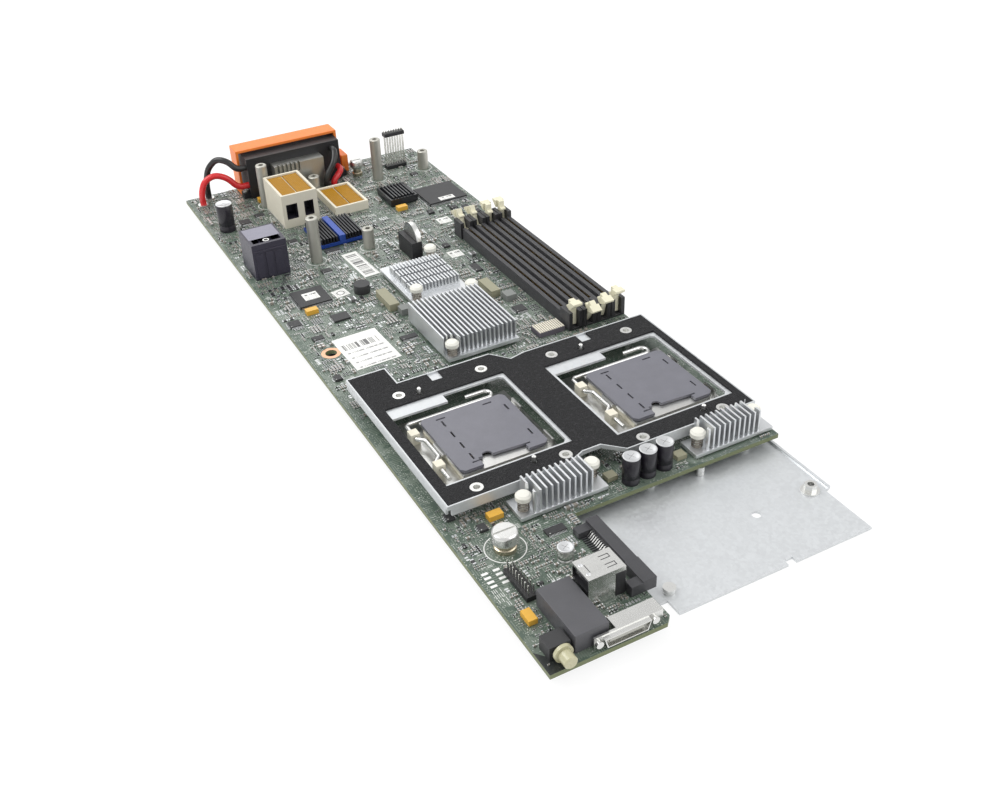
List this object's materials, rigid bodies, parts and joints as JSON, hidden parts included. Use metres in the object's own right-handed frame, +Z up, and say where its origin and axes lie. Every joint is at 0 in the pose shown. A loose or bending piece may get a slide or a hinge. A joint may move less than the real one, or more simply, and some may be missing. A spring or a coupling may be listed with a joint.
{
  "type": "blade server",
  "caption": "Open blade server: L-shaped board on a sheet tray with twin hinged processor sockets in a cage, memory sockets, heat sinks and a rear backplane connector.",
  "frame": {"origin": "middle of the underside, on the plane the tray rests on", "axes": "+X to the board's right, +Y from the front tongue to the rear connector, +Z up from the tray"},
  "size_m": [0.1746, 0.5044, 0.0414],
  "materials": {
    "zinc_sheet": "satin zinc-coated sheet",
    "board_laminate": "dark green solder mask over woven glass",
    "standoff_steel": "turned, plated",
    "gasket_foam": "matt black foam",
    "socket_moulding": "ivory moulding",
    "stamped_steel": "stamped, nickel-plated",
    "bright_wire": "bright drawn wire",
    "cap_plastic": "dark moulding",
    "bare_aluminium": "extruded",
    "dark_aluminium": "black anodised",
    "blue_aluminium": "blue anodised",
    "black_moulding": "black moulding",
    "ivory_moulding": "ivory moulding",
    "orange_moulding": "orange moulding",
    "bright_metal": "bright plated",
    "lead_black": "black insulation",
    "lead_red": "red insulation",
    "amber_film": "amber film over contacts",
    "brass": "turned",
    "cell_steel": "bright can",
    "grey_moulding": "grey moulding",
    "can_aluminium": "sleeved can",
    "chip_epoxy": "black epoxy"
  },
  "bodies": {
    "board": {"base_tray": "zinc_sheet", "tray_standoffs": "standoff_steel", "main_board": "board_laminate", "cage_frame": "zinc_sheet", "cage_gasket": "gasket_foam", "cage_standoffs": "standoff_steel", "chipset_heatsink_front": "bare_aluminium", "chipset_heatsink_rear": "bare_aluminium", "heatsink_pins": "ivory_moulding", "heatsink_springs": "bright_wire", "blue_heatsink": "blue_aluminium", "black_heatsink": "dark_aluminium", "rear_connector_body": "black_moulding", "rear_connector_guard": "orange_moulding", "rear_connector_shield": "bright_metal", "rear_connector_screws": "bright_metal", "red_leads": "lead_red", "black_leads": "lead_black", "mezzanine_connector_tall": "ivory_moulding", "mezzanine_connector_short": "ivory_moulding", "mezzanine_covers": "amber_film", "threaded_posts": "standoff_steel", "thumbscrew_ferrules": "standoff_steel", "power_receptacle": "black_moulding", "battery_holder": "black_moulding", "coin_cell": "cell_steel", "pin_headers": "black_moulding", "usb_stack": "bright_metal", "drive_connector": "black_moulding", "front_io_connector": "bright_metal", "front_shield": "grey_moulding", "capacitors": "can_aluminium", "board_chips": "chip_epoxy", "socket_body_left": "socket_moulding", "socket_frame_left": "stamped_steel", "regulator_heatsink_left": "bare_aluminium", "socket_body_right": "socket_moulding", "socket_frame_right": "stamped_steel", "regulator_heatsink_right": "bare_aluminium", "memory_socket_1": "black_moulding", "memory_socket_2": "black_moulding", "memory_socket_3": "black_moulding", "memory_socket_4": "black_moulding"},
    "memory_latch_1_front": {"memory_latch_1_front": "ivory_moulding"},
    "memory_latch_1_rear": {"memory_latch_1_rear": "ivory_moulding"},
    "memory_latch_2_front": {"memory_latch_2_front": "ivory_moulding"},
    "memory_latch_2_rear": {"memory_latch_2_rear": "ivory_moulding"},
    "memory_latch_3_front": {"memory_latch_3_front": "ivory_moulding"},
    "memory_latch_3_rear": {"memory_latch_3_rear": "ivory_moulding"},
    "memory_latch_4_front": {"memory_latch_4_front": "ivory_moulding"},
    "memory_latch_4_rear": {"memory_latch_4_rear": "ivory_moulding"},
    "plate_left": {"load_plate_left": "stamped_steel"},
    "lever_left": {"load_lever_left": "bright_wire"},
    "cap_left": {"socket_cap_left": "cap_plastic"},
    "plate_right": {"load_plate_right": "stamped_steel"},
    "lever_right": {"load_lever_right": "bright_wire"},
    "cap_right": {"socket_cap_right": "cap_plastic"},
    "thumbscrew_front": {"front_thumbscrew": "standoff_steel"},
    "thumbscrew_rear": {"rear_thumbscrew": "standoff_steel"},
    "button": {"power_button": "brass"}
  },
  "joints": [
    {"name": "memory_latch_1_front_hinge", "type": "hinge", "parent": "board", "child": "memory_latch_1_front", "pos_m": [0.05465, -0.03475, 0.0122], "axis": [1, 0, 0], "range_deg": [0, 38]},
    {"name": "memory_latch_1_rear_hinge", "type": "hinge", "parent": "board", "child": "memory_latch_1_rear", "pos_m": [0.05465, 0.10075, 0.0122], "axis": [-1, 0, 0], "range_deg": [-25, 13]},
    {"name": "memory_latch_2_front_hinge", "type": "hinge", "parent": "board", "child": "memory_latch_2_front", "pos_m": [0.06405, -0.03475, 0.0122], "axis": [1, 0, 0], "range_deg": [-28, 10]},
    {"name": "memory_latch_2_rear_hinge", "type": "hinge", "parent": "board", "child": "memory_latch_2_rear", "pos_m": [0.06405, 0.10075, 0.0122], "axis": [-1, 0, 0], "range_deg": [-25, 13]},
    {"name": "memory_latch_3_front_hinge", "type": "hinge", "parent": "board", "child": "memory_latch_3_front", "pos_m": [0.07345, -0.03475, 0.0122], "axis": [1, 0, 0], "range_deg": [-15, 23]},
    {"name": "memory_latch_3_rear_hinge", "type": "hinge", "parent": "board", "child": "memory_latch_3_rear", "pos_m": [0.07345, 0.10075, 0.0122], "axis": [-1, 0, 0], "range_deg": [0, 38]},
    {"name": "memory_latch_4_front_hinge", "type": "hinge", "parent": "board", "child": "memory_latch_4_front", "pos_m": [0.08285, -0.03475, 0.0122], "axis": [1, 0, 0], "range_deg": [0, 38]},
    {"name": "memory_latch_4_rear_hinge", "type": "hinge", "parent": "board", "child": "memory_latch_4_rear", "pos_m": [0.08285, 0.10075, 0.0122], "axis": [-1, 0, 0], "range_deg": [0, 38]},
    {"name": "load_plate_left_hinge", "type": "hinge", "parent": "board", "child": "plate_left", "pos_m": [-0.01725, -0.10625, 0.0127], "axis": [0, 1, 0], "range_deg": [0, 90]},
    {"name": "load_lever_left_hinge", "type": "hinge", "parent": "board", "child": "lever_left", "pos_m": [-0.06945, -0.10625, 0.0137], "axis": [0, -1, 0], "range_deg": [0, 115]},
    {"name": "socket_cap_left_lift", "type": "slide", "parent": "plate_left", "child": "cap_left", "axis": [0, 0, -1], "range_m": [-0.04, 0]},
    {"name": "load_plate_right_hinge", "type": "hinge", "parent": "board", "child": "plate_right", "pos_m": [0.07425, -0.11345, 0.0127], "axis": [0, 1, 0], "range_deg": [0, 90]},
    {"name": "load_lever_right_hinge", "type": "hinge", "parent": "board", "child": "lever_right", "pos_m": [0.02205, -0.11345, 0.0137], "axis": [0, -1, 0], "range_deg": [0, 115]},
    {"name": "socket_cap_right_lift", "type": "slide", "parent": "plate_right", "child": "cap_right", "axis": [0, 0, -1], "range_m": [-0.04, 0]},
    {"name": "front_thumbscrew_turn", "type": "hinge", "parent": "board", "child": "thumbscrew_front", "pos_m": [-0.06735, -0.17805, 0.0156], "axis": [0, 0, 1], "continuous": true},
    {"name": "rear_thumbscrew_turn", "type": "hinge", "parent": "board", "child": "thumbscrew_rear", "pos_m": [0.03325, 0.22865, 0.0146], "axis": [0, 0, 1], "continuous": true},
    {"name": "power_button_travel", "type": "slide", "parent": "board", "child": "button", "axis": [0, 1, 0], "range_m": [0, 0.001], "stiffness_N_per_m": 600, "springref_m": -0.001}
  ]
}
